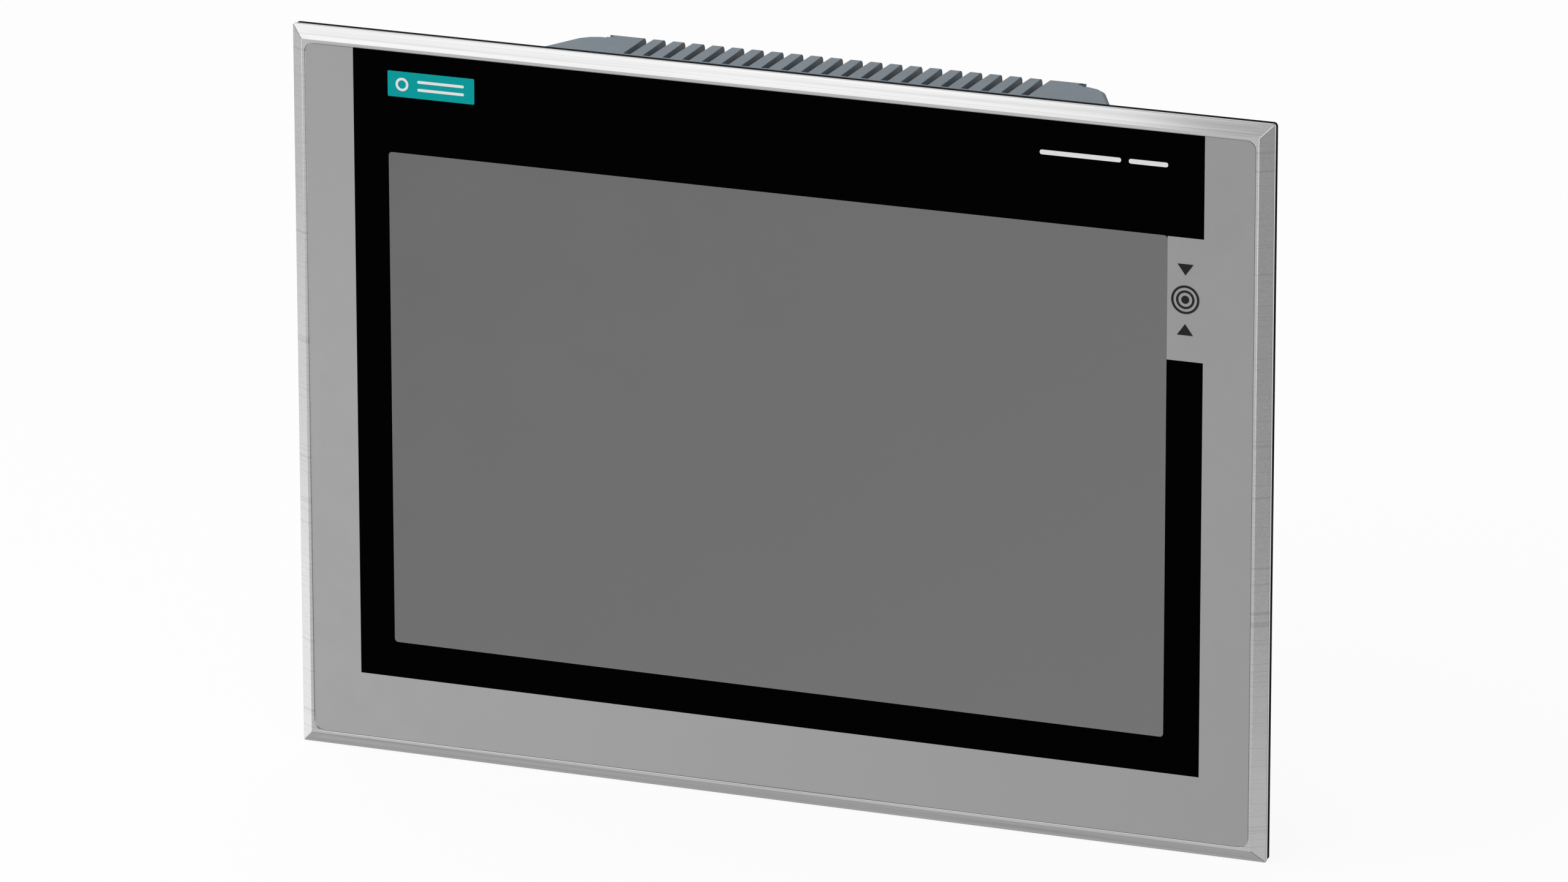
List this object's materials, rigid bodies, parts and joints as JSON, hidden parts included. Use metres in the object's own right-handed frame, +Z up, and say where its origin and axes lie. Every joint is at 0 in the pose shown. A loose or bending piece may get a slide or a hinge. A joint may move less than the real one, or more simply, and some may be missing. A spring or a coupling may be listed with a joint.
{
  "type": "hmi touch panel",
  "caption": "Panel-mount operator terminal: wide touch display in a chamfered aluminium front, gasket, shallow tray and a finned rear cover with sockets facing down.",
  "frame": {"origin": "middle of the seat, the plane at the back of the gasket that rests on the cabinet panel", "axes": "+X to the right as seen from the front, +Y back into the cabinet, +Z up"},
  "size_m": [0.33, 0.0658, 0.241],
  "materials": {
    "front_aluminium": "fine brushed, anodised",
    "gasket_rubber": "matt",
    "foil_silver": "satin print on polyester foil",
    "foil_black": "satin print on polyester foil",
    "film_grey": "anti-glare matt",
    "badge_teal": "satin print",
    "print_white": "print",
    "print_black": "print",
    "sensor_glass": "clear",
    "flex_amber": "polyimide foil",
    "board_green": "solder mask",
    "foam_black": "foam",
    "lcd_glass": "dark",
    "sheet_white": "diffusing",
    "guide_acrylic": "clear",
    "lamp_strip": "strip board",
    "sheet_metal": "zinc-plated sheet",
    "brass": "turned",
    "zinc_screw": "zinc-plated",
    "chip_black": "moulded",
    "pad_pink": "soft pad",
    "raw_aluminium": "milled",
    "coil_grey": "ferrite",
    "can_aluminium": "drawn can",
    "black_plastic": "moulded",
    "steel_bright": "bright",
    "tinned_metal": "tinned",
    "gold_wire": "gold-plated",
    "green_plastic": "moulded",
    "pale_plastic": "moulded",
    "dark_plastic": "moulded",
    "tray_grey": "powder-coated sheet aluminium",
    "cover_grey": "powder-coated die casting",
    "plate_silver": "blank label"
  },
  "bodies": {
    "root": {"front_bezel": "front_aluminium", "panel_gasket": "gasket_rubber", "decor_foil": "foil_silver", "black_mask": "foil_black", "touch_film": "film_grey", "corner_badge": "badge_teal", "badge_mark": "print_white", "header_bars": "print_white", "touch_symbol": "print_black", "touch_glass": "sensor_glass", "touch_tail": "flex_amber", "touch_board": "board_green", "dust_foam": "foam_black", "lcd_cell": "lcd_glass", "diffuser_sheets": "sheet_white", "light_guide": "guide_acrylic", "led_bar": "lamp_strip", "lcd_pan": "sheet_metal", "lcd_cable": "flex_amber", "display_carrier": "sheet_metal", "carrier_standoffs": "brass", "carrier_screws": "zinc_screw", "main_board": "board_green", "board_standoffs": "brass", "board_screws": "zinc_screw", "processor": "chip_black", "thermal_pad": "pad_pink", "heat_spreader": "raw_aluminium", "memory_chips": "chip_black", "power_coils": "coil_grey", "capacitors": "can_aluminium", "cell_holder": "black_plastic", "coin_cell": "steel_bright", "network_shells": "tinned_metal", "network_inserts": "black_plastic", "network_contacts": "gold_wire", "usb_shells": "tinned_metal", "usb_tongues": "black_plastic", "mini_usb_port": "tinned_metal", "serial_shell": "tinned_metal", "serial_insert": "black_plastic", "serial_screwlocks": "steel_bright", "audio_jack": "black_plastic", "power_header": "green_plastic", "power_pins": "tinned_metal", "card_readers": "tinned_metal", "lock_rivets": "steel_bright", "rear_tray": "tray_grey", "bezel_posts": "brass", "tray_screws": "zinc_screw", "rear_cover": "cover_grey", "cover_screws": "zinc_screw", "rating_plate": "plate_silver", "bonding_stud": "steel_bright", "bonding_washer": "steel_bright", "bonding_nut": "brass"},
    "card_lock": {"card_lock": "dark_plastic"},
    "card_ejector_upper": {"card_ejector_upper": "pale_plastic"},
    "card_ejector_lower": {"card_ejector_lower": "pale_plastic"}
  },
  "joints": [
    {"name": "card_lock_slide", "type": "slide", "parent": "root", "child": "card_lock", "axis": [0, 0, 1], "range_m": [-0.008, 0]},
    {"name": "ejector_upper_slide", "type": "slide", "parent": "root", "child": "card_ejector_upper", "axis": [1, 0, 0], "range_m": [-0.004, 0], "stiffness_N_per_m": 100, "springref_m": 0.002},
    {"name": "ejector_lower_slide", "type": "slide", "parent": "root", "child": "card_ejector_lower", "axis": [1, 0, 0], "range_m": [-0.004, 0], "stiffness_N_per_m": 100, "springref_m": 0.002}
  ]
}
